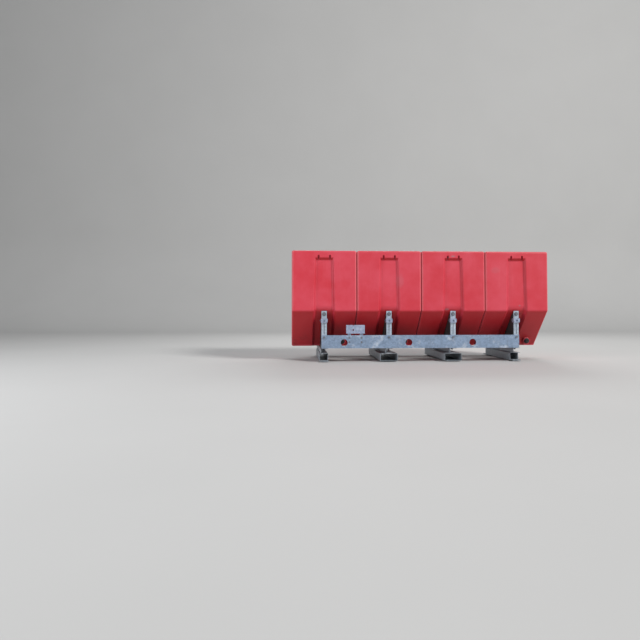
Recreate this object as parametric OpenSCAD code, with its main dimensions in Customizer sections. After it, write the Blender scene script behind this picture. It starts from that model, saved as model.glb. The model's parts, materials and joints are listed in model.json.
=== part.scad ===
// A row of four ballast tanks held in a bolted steel cradle.
// X runs along the row, the front faces -Y, Z is up, and the origin is on the floor at the middle.

/* [Tank] */
// Width of one tank along the row
tank_w = 744; // [600:1:900]
// Gap between neighbouring tanks
tank_gap = 6; // [3:0.5:12]
// Depth of a tank from front face to rear face
tank_d = 1000; // [900:1:1200]
// Height of the upright faces, from knee to top
face_h = 692; // [550:1:850]
// Height of the sloping faces, from heel to knee
slope_h = 408; // [380:1:500]
// How far a sloping face goes inwards from knee to heel
slope_run = 367; // [300:1:380]
// Height of the short upright heel at the bottom
heel_h = 15; // [10:1:20]
// Wall thickness of the moulding
wall = 8; // [5:0.5:10]
// Radius of the outer edges
edge_r = 20; // [8:1:30]

/* [Recess] */
// Height from the recess ledge to the top of the tank
recess_drop = 80; // [60:1:100]
// Width of the recess at its ledge
recess_top_w = 208; // [180:1:240]
// Width of the recess at the knee and on the slope
recess_knee_w = 246; // [200:1:270]
// Depth of the recess in the upright face
recess_depth = 28; // [20:1:32]
// Depth of the recess in the slope, square to it
recess_slope_depth = 35; // [33:1:42]
// Width of the two lifting notches above the ledge
notch_w = 22; // [14:1:30]
// Distance between the two lifting notches
notch_pitch = 130; // [100:1:150]
// Height of a lifting notch above the ledge
notch_h = 30; // [24:1:44]

/* [Filling and draining] */
// Outer radius of the fill neck
neck_r = 70; // [60:1:80]
// Radius of the fill opening
fill_r = 52; // [40:1:54]
// Height of the fill neck
neck_h = 26; // [22:1:32]
// Thickness of the cap gasket
cap_gasket_t = 4; // [3:0.5:6]
// Wall of the cap's skirt and top
cap_wall = 8; // [6:0.5:10]
// Height of the grip bar on the cap
cap_bar_h = 12; // [10:1:20]
// Radius of the drain bore
drain_r = 22.5; // [18:0.5:26]
// Radius of the drain boss
boss_r = 40; // [36:1:44]
// Distance of the drain from the middle of the tank
drain_x = 230; // [190:1:260]
// Height of the drain above the tank's bottom
drain_h = 59; // [56:1:80]
// Length of the drain plug inside its bore
plug_len = 28; // [20:1:34]
// Thickness of the drain gasket
drain_gasket_t = 3; // [2:0.5:4]

/* [Cradle] */
// Thickness of the rubber feet
foot_t = 10; // [6:1:15]
// Height of the fork channels and end skids
skid_h = 90; // [80:1:110]
// Width of a fork channel
fork_w = 200; // [180:1:240]
// Width of an end skid
skid_w = 100; // [90:1:130]
// Wall of the fork channels and end skids
skid_wall = 6; // [4:0.5:8]
// Height of a cross beam
beam_h = 60; // [50:1:80]
// Width of a cross beam
beam_w = 80; // [72:1:90]
// Thickness of the cross beams' and rails' steel
steel_t = 6; // [5:0.5:8]
// Thickness of the rubber mats under the tanks
mat_t = 6; // [6:1:10]
// Height of the rails
rail_h = 150; // [125:1:180]
// Distance from the leg bolts to the edge of the rails' lower leg
leg_edge = 15; // [12:1:25]
// Distance from the tank's face back to the posts' face
post_setback = 30; // [29:1:34]
// Width of a post
post_w = 63; // [60:1:70]
// Depth of a post
post_d = 45; // [42:1:50]
// Wall of a post
post_wall = 4; // [3:0.5:5]
// Thickness of the gussets' steel
gusset_t = 5; // [4:0.5:6]
// Thickness of the rubber pads under the slopes
pad_t = 8; // [6:0.5:10]

/* [Fittings] */
// Height of the eye brackets
eye_h = 46; // [40:1:56]
// Radius of the eye
eye_r = 11; // [8:0.5:13]
// How far an eye bracket stands in front of its post
eye_reach = 20; // [14:1:22]
// Width of the anchor plate
anchor_w = 215; // [180:1:240]
// Height of the anchor plate
anchor_h = 97; // [80:1:120]
// Radius of the hole in the anchor plate
anchor_hole_r = 9; // [6:0.5:12]
// Radius of the bolt-down holes in the end skids' feet
base_hole_r = 9; // [7:0.5:11]

/* [Hidden] */
$fn = 48;

hole_play = 0.5;        // radial play of a bolt in its hole
thread_play = 0.05;     // radial play of a nut or washer on its bolt
screw_play = 0.6;       // radial play of a cap on its neck
head_play = 1.08;       // gap between a leg bolt's head and the gusset's flange
plug_play = 0.3;        // radial play of a drain plug in its bore
pad_play = 0.1;         // gap between a pad and the gusset below or the tank above
cap_lift = 4;           // gap between a cap's skirt and the tank
cap_rib = [4, 6];       // depth and width of a rib on the cap's skirt
past = 1;               // how far a cut runs past the face it opens

m20 = 20;
m16 = 16;
m12 = 12;
m10 = 10;
head_share = 0.87;      // a hexagon head's corner radius, as a share of its bolt's diameter
m16_head = head_share * m16;

tank_pitch = tank_w + tank_gap;
tank_x = [for (i = [-1.5, -0.5, 0.5, 1.5]) i * tank_pitch];
skid_top = foot_t + skid_h;
beam_top = skid_top + beam_h;
tank_bottom = beam_top + mat_t;
heel_z = tank_bottom + heel_h;
knee_z = heel_z + slope_h;
tank_top = knee_z + face_h;
ledge_z = tank_top - recess_drop;
slope_angle = atan(slope_run / slope_h);

// Places on the front slope. inset is measured square to it, towards the inside.
function slope_y(inset, z) = -tank_d / 2 + (knee_z - z) * tan(slope_angle) + inset / cos(slope_angle);
function slope_z(inset, y) = knee_z - (y + tank_d / 2 - inset / cos(slope_angle)) / tan(slope_angle);
function bend(inset) = inset * tan(slope_angle / 2);
function arc(y, z, r, from, to) = [for (a = [from:(to - from) / 5:to]) [y + r * cos(a), z + r * sin(a)]];

// Cradle levels and faces
rail_top = beam_top + rail_h;
post_face = -tank_d / 2 + post_setback;
post_back = post_face + post_d;
rail_face = post_face - steel_t;
leg_top = beam_top + steel_t;
leg_bolt_y = post_back + gusset_t + m16_head + head_play;
leg_end = leg_bolt_y + leg_edge;
post_top = knee_z;
pad_inset = recess_slope_depth - pad_t;
gusset_end = slope_y(pad_inset, heel_z) - 25;
row_half = 1.5 * tank_pitch + post_w / 2;

// Bolts' places
top_bolt_z = post_top - 36;
top_washer_r = 22;
top_washer_t = 4;
rail_bolt_z = rail_top - 25;
eye_z = post_top - 112;
eye_steel = 6;
eye_bolt_y = post_face + 20;
eye_leg_end = post_face + 32;
gusset_bolt_z = [leg_top + 64, eye_z - 70];
leg_bolt_x = 5;
beam_bolt_x = 8;
beam_bolt_y = 250;
beam_end = -post_face;
skid_end = 400;
skid_foot = 80;
skid_foot_t = 10;
foot_pad = [90, 160];
foot_pad_y = 300;
mat_l = 200;
slot_w = 6;
slot_z = [rail_top + 12, eye_z - 34];
access_r = 40;

// Drain
drain_z = tank_bottom + drain_h;
boss_face = slope_y(0, drain_z + boss_r) - 16;
boss_back = slope_y(0, drain_z) + 40;
drain_flange = [32, 8];
drain_hex = [21, 18];

// Anchor plate
anchor_x = -tank_pitch - 15;
anchor_z = rail_top + 20;
anchor_lip = 18;
anchor_arm = [40, 100, 70];     // width, length behind the rail, distance from the plate's middle
anchor_hole = [-25, 40];        // from the plate's middle and from its lower edge
anchor_bolt_z = [rail_top - 80, rail_top - 30];

// Outline of a tank in the YZ plane, drawn inset from its outer skin
function tank_half(inset, r) = [
    [-tank_d / 2 + slope_run + inset, tank_bottom + inset],
    [-tank_d / 2 + slope_run + inset, heel_z + bend(inset)],
    [-tank_d / 2 + inset, knee_z + bend(inset)],
    for (p = arc(-tank_d / 2 + inset + r, tank_top - inset - r, r, 180, 90)) p
];
function mirrored(points) = [for (i = [len(points) - 1:-1:0]) [-points[i][0], points[i][1]]];

// Extrudes a YZ outline along X, centred
module along_x(w) {
    rotate([90, 0, 90]) linear_extrude(w, center = true) children();
}

// Extrudes an XZ outline along Y, through the whole depth
module along_y(d) {
    rotate([90, 0, 0]) linear_extrude(d, center = true) children();
}

module rounded(w, h, r) {
    square([w - 2 * r, h], center = true);
    square([w, h - 2 * r], center = true);
    for (x = [-1, 1], y = [-1, 1]) translate([x * (w / 2 - r), y * (h / 2 - r)]) circle(r);
}

// The solid form of a tank, smaller by inset all round
module tank_form(inset) {
    r = edge_r - inset > 2 ? edge_r - inset : 2;
    half = tank_half(inset, r);
    height = tank_top - tank_bottom;
    intersection() {
        along_x(tank_w - 2 * inset) polygon(concat(half, mirrored(half)));
        translate([0, 0, tank_bottom]) linear_extrude(height)
            rounded(tank_w - 2 * inset, tank_d - 2 * inset, r);
        along_y(tank_d) translate([0, (tank_top + tank_bottom) / 2])
            rounded(tank_w - 2 * inset, height - 2 * inset, r);
    }
}

// The space of the front recess. grow makes it larger by a wall's thickness.
module recess_form(grow) {
    out = -tank_d / 2 - past;
    floor_y = -tank_d / 2 + recess_depth + grow;
    inset = recess_slope_depth + grow;
    heel_y = -tank_d / 2 + slope_run + inset;
    top = ledge_z + (grow > 0 ? notch_h + recess_depth + grow : 0);
    side = [
        [recess_knee_w / 2 + grow, tank_bottom - past],
        [recess_knee_w / 2 + grow, knee_z],
        [recess_top_w / 2 + grow, tank_top]
    ];
    intersection() {
        along_x(tank_w) polygon([
            [out, tank_bottom - past], [heel_y, tank_bottom - past], [heel_y, heel_z + bend(inset)],
            [floor_y, slope_z(inset, floor_y)], [floor_y, top - recess_depth], [out, top + past]
        ]);
        along_y(2 * tank_d) polygon(concat(side, mirrored(side)));
    }
}

// The two lifting notches above the ledge of the front recess
module notches() {
    for (side = [-1, 1]) translate([side * notch_pitch / 2, -tank_d / 2 + recess_depth, ledge_z]) {
        translate([0, 0, notch_h - notch_w / 2]) rotate([90, 0, 0])
            cylinder(r = notch_w / 2, h = recess_depth + past);
        translate([-notch_w / 2, -recess_depth - past, -recess_depth])
            cube([notch_w, recess_depth + past, recess_depth + notch_h - notch_w / 2]);
    }
}

module front_and_rear() {
    children();
    mirror([0, 1, 0]) children();
}

module tank(i) {
    color("#cc4250") translate([tank_x[i - 1], 0, 0]) difference() {
        union() {
            difference() {
                tank_form(0);
                front_and_rear() {
                    recess_form(0);
                    notches();
                }
                difference() {
                    tank_form(wall);
                    front_and_rear() recess_form(wall);
                }
            }
            translate([0, 0, tank_top - wall / 2]) cylinder(r = neck_r, h = neck_h + wall / 2);
            translate([drain_x, boss_back, drain_z]) rotate([90, 0, 0])
                cylinder(r = boss_r, h = boss_back - boss_face);
        }
        translate([0, 0, tank_top - wall - past]) cylinder(r = fill_r, h = neck_h + wall + 2 * past);
        translate([drain_x, boss_back + past, drain_z]) rotate([90, 0, 0])
            cylinder(r = drain_r, h = boss_back - boss_face + 2 * past);
    }
}

module fill_cap(i) {
    inner = neck_r + screw_play;
    outer = inner + cap_wall;
    rim = neck_h + cap_gasket_t;
    color("#a8323c") translate([tank_x[i - 1], 0, tank_top]) {
        difference() {
            translate([0, 0, cap_lift]) cylinder(r = outer, h = rim + cap_wall - cap_lift);
            translate([0, 0, cap_lift - past]) cylinder(r = inner, h = rim - cap_lift + past);
        }
        for (a = [0:22.5:337.5]) rotate(a) translate([outer - 1, -cap_rib[1] / 2, cap_lift])
            cube([cap_rib[0], cap_rib[1], rim]);
        translate([-outer + 10, -8, rim + cap_wall]) cube([2 * outer - 20, 16, cap_bar_h]);
    }
}

module cap_gasket(i) {
    color("#26282a") translate([tank_x[i - 1], 0, tank_top + neck_h]) difference() {
        cylinder(r = neck_r, h = cap_gasket_t);
        translate([0, 0, -past]) cylinder(r = fill_r + 1, h = cap_gasket_t + 2 * past);
    }
}

// Puts its children on the drain's axis, with Z pointing out of the drain
module at_drain(i) {
    translate([tank_x[i - 1] + drain_x, boss_face, drain_z]) rotate([90, 0, 0]) children();
}

module drain_plug(i) {
    color("#232527") at_drain(i) {
        translate([0, 0, -plug_len]) cylinder(r = drain_r - plug_play, h = plug_len + drain_gasket_t);
        translate([0, 0, drain_gasket_t]) cylinder(r = drain_flange[0], h = drain_flange[1]);
        translate([0, 0, drain_gasket_t + drain_flange[1]])
            cylinder(r = drain_hex[0], h = drain_hex[1], $fn = 6);
    }
}

module drain_gasket(i) {
    color("#3a3d40") at_drain(i) difference() {
        cylinder(r = drain_flange[0] - 1, h = drain_gasket_t);
        translate([0, 0, -past]) cylinder(r = drain_r + plug_play, h = drain_gasket_t + 2 * past);
    }
}

// A post for the front, with its face towards -Y and its top cut parallel to the slope
module post() {
    cut = post_d / tan(slope_angle);
    color("#9aa6b4") difference() {
        along_x(post_w) polygon([
            [post_face, leg_top], [post_back, leg_top], [post_back, post_top - cut], [post_face, post_top]
        ]);
        translate([-post_w / 2 + post_wall, post_face + post_wall, leg_top - past])
            cube([post_w - 2 * post_wall, post_d - 2 * post_wall, post_top - leg_top + 2 * past]);
        translate([-slot_w / 2, post_face - past, slot_z[0]])
            cube([slot_w, post_wall + 2 * past, slot_z[1] - slot_z[0]]);
        for (hole = [[top_bolt_z, m20], [rail_bolt_z, m16]])
            translate([0, post_face + post_wall + past, hole[0]]) rotate([90, 0, 0])
                cylinder(r = hole[1] / 2 + hole_play, h = post_wall + 2 * past);
        for (z = gusset_bolt_z) translate([0, post_back + past, z]) rotate([90, 0, 0])
            cylinder(r = m12 / 2 + hole_play, h = post_wall + 2 * past);
        translate([-post_w, eye_bolt_y, eye_z]) rotate([0, 90, 0])
            cylinder(r = m10 / 2 + hole_play, h = 2 * post_w);
    }
}

module front_post(i) {
    translate([tank_x[i - 1], 0, 0]) post();
}

module rear_post(i) {
    mirror([0, 1, 0]) front_post(i);
}

// A folded saddle behind a post: two cheeks, a web along the slope and a flange on the post
module gusset() {
    web = pad_inset;
    under = pad_inset - gusset_t;
    cheek_gap = post_w - 2 * gusset_t;
    flange_y = post_back + gusset_t;
    color("#2c2f31") difference() {
        along_x(post_w) polygon([
            [post_back, leg_top], [post_back, slope_z(web, post_back)],
            [gusset_end, slope_z(web, gusset_end)], [gusset_end, beam_top],
            [leg_end, beam_top], [leg_end, leg_top]
        ]);
        along_x(cheek_gap) polygon([
            [flange_y, beam_top - past], [flange_y, slope_z(under, flange_y)],
            [gusset_end + past, slope_z(under, gusset_end + past)], [gusset_end + past, beam_top - past]
        ]);
        for (z = gusset_bolt_z) translate([0, flange_y + past, z]) rotate([90, 0, 0])
            cylinder(r = m12 / 2 + hole_play, h = gusset_t + 2 * past);
    }
}

module front_gusset(i) {
    translate([tank_x[i - 1], 0, 0]) gusset();
}

module rear_gusset(i) {
    mirror([0, 1, 0]) front_gusset(i);
}

module front_pads() {
    from = post_back + 6;
    to = gusset_end - 6;
    low = pad_inset + pad_play;
    high = recess_slope_depth - pad_play;
    color("#1e1f20") for (x = tank_x) translate([x, 0, 0]) along_x(post_w) polygon([
        [from, slope_z(low, from)], [from, slope_z(high, from)],
        [to, slope_z(high, to)], [to, slope_z(low, to)]
    ]);
}

module rear_pads() {
    mirror([0, 1, 0]) front_pads();
}

module front_eye_brackets() {
    outer = post_w + 2 * eye_steel;
    face = post_face - eye_reach;
    color("#aab4c0") for (x = tank_x) translate([x, 0, 0]) difference() {
        translate([-outer / 2, face, eye_z - eye_h / 2]) cube([outer, eye_leg_end - face, eye_h]);
        translate([-post_w / 2, face + eye_steel, eye_z - eye_h])
            cube([post_w, eye_leg_end - face, 2 * eye_h]);
        translate([0, face + eye_steel + past, eye_z]) rotate([90, 0, 0])
            cylinder(r = eye_r, h = eye_steel + 2 * past);
        translate([-outer, eye_bolt_y, eye_z]) rotate([0, 90, 0])
            cylinder(r = m10 / 2 + hole_play, h = 2 * outer);
    }
}

module rear_eye_brackets() {
    mirror([0, 1, 0]) front_eye_brackets();
}

// An angle along the front, with the holes for the posts and the cross beams
module rail() {
    difference() {
        translate([-row_half, 0, 0]) union() {
            translate([0, rail_face, beam_top]) cube([2 * row_half, steel_t, rail_h]);
            translate([0, rail_face, beam_top]) cube([2 * row_half, leg_end - rail_face, steel_t]);
        }
        for (x = tank_x) {
            translate([x, rail_face + steel_t + past, rail_bolt_z]) rotate([90, 0, 0])
                cylinder(r = m16 / 2 + hole_play, h = steel_t + 2 * past);
            translate([x + leg_bolt_x, leg_bolt_y, beam_top - past])
                cylinder(r = m16 / 2 + hole_play, h = steel_t + 2 * past);
        }
    }
}

module front_rail() {
    color("#8f9fb2") difference() {
        rail();
        for (x = tank_x) translate([x + drain_x, rail_face + steel_t + past, drain_z]) rotate([90, 0, 0])
            cylinder(r = access_r, h = steel_t + 2 * past);
        for (side = [-1, 1], z = anchor_bolt_z) translate([anchor_x + side * anchor_arm[2], rail_face, z])
            rotate([-90, 0, 0]) {
                translate([0, 0, -past]) cylinder(r = m12 / 2 + hole_play, h = steel_t + 2 * past);
                translate([0, 0, -0.01]) cylinder(r1 = m12 + 0.01, r2 = m12 / 2, h = m12 / 2);
            }
    }
}

module rear_rail() {
    color("#8f9fb2") mirror([0, 1, 0]) rail();
}

// A channel along Y, open towards +X
module cross_beam(i) {
    color("#93a2b3") translate([tank_x[i - 1], 0, 0]) difference() {
        translate([-beam_w / 2, -beam_end, skid_top]) cube([beam_w, 2 * beam_end, beam_h]);
        translate([-beam_w / 2 + steel_t, -beam_end - past, skid_top + steel_t])
            cube([beam_w, 2 * (beam_end + past), beam_h - 2 * steel_t]);
        for (side = [-1, 1]) {
            translate([leg_bolt_x, side * leg_bolt_y, beam_top - steel_t - past])
                cylinder(r = m16 / 2 + hole_play, h = steel_t + 2 * past);
            translate([beam_bolt_x, side * beam_bolt_y, skid_top - past])
                cylinder(r = m16 / 2 + hole_play, h = steel_t + 2 * past);
        }
    }
}

// A box section along Y, drilled for the cross beam above it
module skid_tube(x, w, half) {
    translate([x, 0, foot_t]) difference() {
        translate([-w / 2, -half, 0]) cube([w, 2 * half, skid_h]);
        translate([-w / 2 + skid_wall, -half - past, skid_wall])
            cube([w - 2 * skid_wall, 2 * (half + past), skid_h - 2 * skid_wall]);
        for (side = [-1, 1]) translate([beam_bolt_x, side * beam_bolt_y, skid_h - skid_wall - past])
            cylinder(r = m16 / 2 + hole_play, h = skid_wall + 2 * past);
    }
}

module fork_channel(x) {
    color("#8797a9") skid_tube(x, fork_w, beam_end);
}

module end_skid(x) {
    color("#8797a9") {
        skid_tube(x, skid_w, skid_end);
        for (side = [-1, 1]) translate([x, side * (skid_end + skid_foot / 2), foot_t]) difference() {
            translate([-skid_w / 2, -skid_foot / 2, 0]) cube([skid_w, skid_foot, skid_foot_t]);
            translate([0, 0, -past]) cylinder(r = base_hole_r, h = skid_foot_t + 2 * past);
        }
    }
}

module tank_mats() {
    color("#222426") for (x = tank_x) translate([x - beam_w / 2, -mat_l / 2, beam_top])
        cube([beam_w, mat_l, mat_t]);
}

module foot_pads() {
    color("#222426") for (x = tank_x, side = [-1, 1])
        translate([x - foot_pad[0] / 2, side * foot_pad_y - foot_pad[1] / 2, 0])
            cube([foot_pad[0], foot_pad[1], foot_t]);
}

module anchor_plate() {
    arm_z = rail_top - anchor_arm[1];
    color("#9fabba") translate([anchor_x, 0, 0]) difference() {
        union() {
            translate([-anchor_w / 2, rail_face, anchor_z]) cube([anchor_w, steel_t, anchor_h]);
            translate([-anchor_w / 2, rail_face - anchor_lip, anchor_z])
                cube([anchor_w, anchor_lip, steel_t]);
            for (side = [-1, 1])
                translate([side * anchor_arm[2] - anchor_arm[0] / 2, post_face, arm_z])
                    cube([anchor_arm[0], steel_t, anchor_z + anchor_h - 20 - arm_z]);
        }
        translate([anchor_hole[0], rail_face + steel_t + past, anchor_z + anchor_hole[1]]) rotate([90, 0, 0])
            cylinder(r = anchor_hole_r, h = steel_t + 2 * past);
        translate([anchor_hole[0], rail_face + steel_t + past, anchor_z + anchor_h]) rotate([90, 0, 0])
            cylinder(r = 6, h = steel_t + 2 * past);
        for (side = [-1, 1], z = anchor_bolt_z) translate([side * anchor_arm[2], post_face - past, z])
            rotate([-90, 0, 0]) cylinder(r = m12 / 2 + hole_play, h = steel_t + 2 * past);
    }
}

// A bolt whose head stands on Z = 0 and whose shank points to -Z
module hex_bolt(d, grip) {
    cylinder(r = head_share * d, h = 0.63 * d, $fn = 6);
    translate([0, 0, -grip - 1.1 * d]) cylinder(r = d / 2, h = grip + 1.1 * d);
}

// A nut on that bolt, below what it grips
module hex_nut(d, grip) {
    translate([0, 0, -grip - 0.8 * d]) difference() {
        cylinder(r = head_share * d, h = 0.8 * d, $fn = 6);
        translate([0, 0, -past]) cylinder(r = d / 2 + thread_play, h = d + 2 * past);
    }
}

module washer(d, r, t) {
    difference() {
        cylinder(r = r, h = t);
        translate([0, 0, -past]) cylinder(r = d / 2 + thread_play, h = t + 2 * past);
    }
}

module post_bolts() {
    color("#c3cad2") front_and_rear() for (x = tank_x)
        translate([x, post_face, top_bolt_z]) rotate([90, 0, 0]) {
            washer(m20, top_washer_r, top_washer_t);
            translate([0, 0, top_washer_t]) hex_bolt(m20, top_washer_t + post_wall);
            hex_nut(m20, post_wall);
        }
}

module eye_bolts() {
    grip = post_w + 2 * eye_steel;
    color("#b4bdc7") front_and_rear() for (x = tank_x)
        translate([x + grip / 2, eye_bolt_y, eye_z]) rotate([0, 90, 0]) {
            hex_bolt(m10, grip);
            hex_nut(m10, grip);
        }
}

module gusset_bolts() {
    grip = post_wall + gusset_t;
    color("#b4bdc7") front_and_rear() for (x = tank_x, z = gusset_bolt_z)
        translate([x, post_back + gusset_t, z]) rotate([-90, 0, 0]) {
            hex_bolt(m12, grip);
            hex_nut(m12, grip);
        }
}

module rail_bolts() {
    grip = steel_t + post_wall;
    color("#bac2cb") front_and_rear() for (x = tank_x)
        translate([x, rail_face, rail_bolt_z]) rotate([90, 0, 0]) {
            hex_bolt(m16, grip);
            hex_nut(m16, grip);
        }
}

module leg_bolts() {
    grip = 2 * steel_t;
    color("#b4bdc7") front_and_rear() for (x = tank_x) translate([x + leg_bolt_x, leg_bolt_y, leg_top]) {
        hex_bolt(m16, grip);
        hex_nut(m16, grip);
    }
}

module beam_bolts() {
    grip = steel_t + skid_wall;
    color("#b4bdc7") for (x = tank_x, side = [-1, 1])
        translate([x + beam_bolt_x, side * beam_bolt_y, skid_top + steel_t]) {
            hex_bolt(m16, grip);
            hex_nut(m16, grip);
        }
}

module anchor_bolts() {
    grip = 2 * steel_t;
    color("#b4bdc7") for (side = [-1, 1], z = anchor_bolt_z)
        translate([anchor_x + side * anchor_arm[2], rail_face, z]) rotate([90, 0, 0]) {
            translate([0, 0, -m12 / 2 + 0.3]) cylinder(r1 = m12 / 2, r2 = m12 - 0.3, h = m12 / 2 - 0.3);
            translate([0, 0, -grip - m12]) cylinder(r = m12 / 2, h = grip + m12 / 2 + 1);
            hex_nut(m12, grip);
        }
}

tank(1);  // tank_1
tank(2);  // tank_2
tank(3);  // tank_3
tank(4);  // tank_4
fill_cap(1);  // fill_cap_1
fill_cap(2);  // fill_cap_2
fill_cap(3);  // fill_cap_3
fill_cap(4);  // fill_cap_4
cap_gasket(1);  // cap_gasket_1
cap_gasket(2);  // cap_gasket_2
cap_gasket(3);  // cap_gasket_3
cap_gasket(4);  // cap_gasket_4
drain_plug(1);  // drain_plug_1
drain_plug(2);  // drain_plug_2
drain_plug(3);  // drain_plug_3
drain_plug(4);  // drain_plug_4
drain_gasket(1);  // drain_gasket_1
drain_gasket(2);  // drain_gasket_2
drain_gasket(3);  // drain_gasket_3
drain_gasket(4);  // drain_gasket_4
front_post(1);  // front_post_1
front_post(2);  // front_post_2
front_post(3);  // front_post_3
front_post(4);  // front_post_4
rear_post(1);  // rear_post_1
rear_post(2);  // rear_post_2
rear_post(3);  // rear_post_3
rear_post(4);  // rear_post_4
front_gusset(1);  // front_gusset_1
front_gusset(2);  // front_gusset_2
front_gusset(3);  // front_gusset_3
front_gusset(4);  // front_gusset_4
rear_gusset(1);  // rear_gusset_1
rear_gusset(2);  // rear_gusset_2
rear_gusset(3);  // rear_gusset_3
rear_gusset(4);  // rear_gusset_4
front_pads();
rear_pads();
front_eye_brackets();
rear_eye_brackets();
front_rail();
rear_rail();
cross_beam(1);  // cross_beam_1
cross_beam(2);  // cross_beam_2
cross_beam(3);  // cross_beam_3
cross_beam(4);  // cross_beam_4
fork_channel(tank_x[1]);  // fork_channel_left
fork_channel(tank_x[2]);  // fork_channel_right
end_skid(tank_x[0]);  // end_skid_left
end_skid(tank_x[3]);  // end_skid_right
tank_mats();
foot_pads();
anchor_plate();
post_bolts();
eye_bolts();
gusset_bolts();
rail_bolts();
leg_bolts();
beam_bolts();
anchor_bolts();
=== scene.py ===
import json
import math

import bmesh
import bpy
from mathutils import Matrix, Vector


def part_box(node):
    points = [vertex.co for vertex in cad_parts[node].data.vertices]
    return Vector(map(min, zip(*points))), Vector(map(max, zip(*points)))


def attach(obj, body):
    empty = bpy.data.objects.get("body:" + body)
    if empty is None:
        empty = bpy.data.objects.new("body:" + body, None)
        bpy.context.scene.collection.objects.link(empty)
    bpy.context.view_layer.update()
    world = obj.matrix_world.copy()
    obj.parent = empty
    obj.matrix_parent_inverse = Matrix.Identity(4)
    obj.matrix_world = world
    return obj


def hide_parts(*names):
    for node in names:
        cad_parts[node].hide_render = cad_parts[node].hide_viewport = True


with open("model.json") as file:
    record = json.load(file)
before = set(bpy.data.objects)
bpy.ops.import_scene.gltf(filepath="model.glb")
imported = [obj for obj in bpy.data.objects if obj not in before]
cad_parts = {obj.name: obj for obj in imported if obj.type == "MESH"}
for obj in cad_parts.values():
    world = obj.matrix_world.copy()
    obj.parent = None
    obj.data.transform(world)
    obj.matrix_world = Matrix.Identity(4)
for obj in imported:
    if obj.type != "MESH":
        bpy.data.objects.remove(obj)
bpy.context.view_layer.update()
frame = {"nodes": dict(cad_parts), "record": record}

nodes = frame["nodes"]
pi = math.pi
same = 1e-4  # two places nearer than this are one place
directions = {"X": (1, 0, 0), "Y": (0, 1, 0), "Z": (0, 0, 1)}
turned = {
    "X": (0, pi / 2, 0), "-X": (0, -pi / 2, 0), "Y": (-pi / 2, 0, 0), "-Y": (pi / 2, 0, 0), "Z": (0, 0, 0),
}  # turns Z to the named axis


# small helpers around the operators, all sizes in metres
def clearSelection():
    if bpy.context.object and bpy.context.object.mode != "OBJECT":
        bpy.ops.object.mode_set(mode="OBJECT")
    bpy.ops.object.select_all(action="DESELECT")


def activate(piece):
    clearSelection()
    piece.select_set(True)
    bpy.context.view_layer.objects.active = piece


def finishPrimitive(name):
    piece = bpy.context.object
    piece.name = name
    piece.data.name = name
    bpy.ops.object.transform_apply(location=True, rotation=True, scale=True)
    return piece


def addBox(name, low, high):
    clearSelection()
    low, high = Vector(low), Vector(high)
    bpy.ops.mesh.primitive_cube_add(size=1, location=(low + high) / 2, scale=high - low)
    return finishPrimitive(name)


def addCylinder(name, start, radius, length, axis="Z", sides=48):
    clearSelection()
    way = Vector(directions[axis[-1]])
    way = -way if axis[0] == "-" else way
    bpy.ops.mesh.primitive_cylinder_add(
        vertices=sides, radius=radius, depth=length, rotation=turned[axis], location=Vector(start) + way * length / 2,
    )
    return finishPrimitive(name)


def inEdit(piece, kind="FACE"):
    activate(piece)
    bpy.ops.object.mode_set(mode="EDIT")
    bpy.ops.mesh.select_mode(type=kind)
    bpy.ops.mesh.select_all(action="DESELECT")


def leaveEdit():
    bpy.ops.object.mode_set(mode="OBJECT")


def pickFaces(piece, test):
    # test gets a face's centre, normal and corners
    mesh = bmesh.from_edit_mesh(piece.data)
    for face in mesh.faces:
        if test(face.calc_center_median(), face.normal, face.verts):
            face.select = True
    mesh.select_flush(True)
    bmesh.update_edit_mesh(piece.data)


def allOutwards():
    bpy.ops.mesh.select_all(action="SELECT")
    bpy.ops.mesh.normals_make_consistent(inside=False)


def applyModifier(piece, kind, **settings):
    activate(piece)
    modifier = piece.modifiers.new(kind.title(), kind)
    for name, value in settings.items():
        setattr(modifier, name, value)
    bpy.ops.object.modifier_apply(modifier=modifier.name)


def carve(piece, tool, operation="DIFFERENCE"):
    applyModifier(piece, "BOOLEAN", object=tool, operation=operation, solver="EXACT")
    bpy.data.objects.remove(tool)


def joinAll(name, pieces):
    clearSelection()
    for piece in pieces:
        piece.select_set(True)
    bpy.context.view_layer.objects.active = pieces[0]
    bpy.ops.object.join()
    pieces[0].name = name
    return pieces[0]


def soften(piece, width, segments=2, angle=30):
    applyModifier(
        piece, "BEVEL", width=width, segments=segments, limit_method="ANGLE", angle_limit=math.radians(angle),
        use_clamp_overlap=True,
    )


def smooth(piece, angle=32):
    activate(piece)
    bpy.ops.object.shade_smooth_by_angle(angle=math.radians(angle))
    applyModifier(piece, "WEIGHTED_NORMAL", keep_sharp=True)


def copyTo(piece, name, shift=(0, 0, 0)):
    twin = piece.copy()
    twin.data = piece.data.copy()
    twin.name = name
    bpy.context.scene.collection.objects.link(twin)
    activate(twin)
    bpy.ops.transform.translate(value=shift)
    bpy.ops.object.transform_apply(location=True, rotation=True, scale=True)
    return twin


def lineObject(name, points, lines):
    data = bpy.data.meshes.new(name)
    data.from_pydata(points, lines, [])
    line = bpy.data.objects.new(name, data)
    bpy.context.scene.collection.objects.link(line)
    return line


def settle(piece, node, body, material):
    piece.data.materials.clear()
    piece.data.materials.append(material)
    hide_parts(node)
    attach(piece, body)


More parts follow.
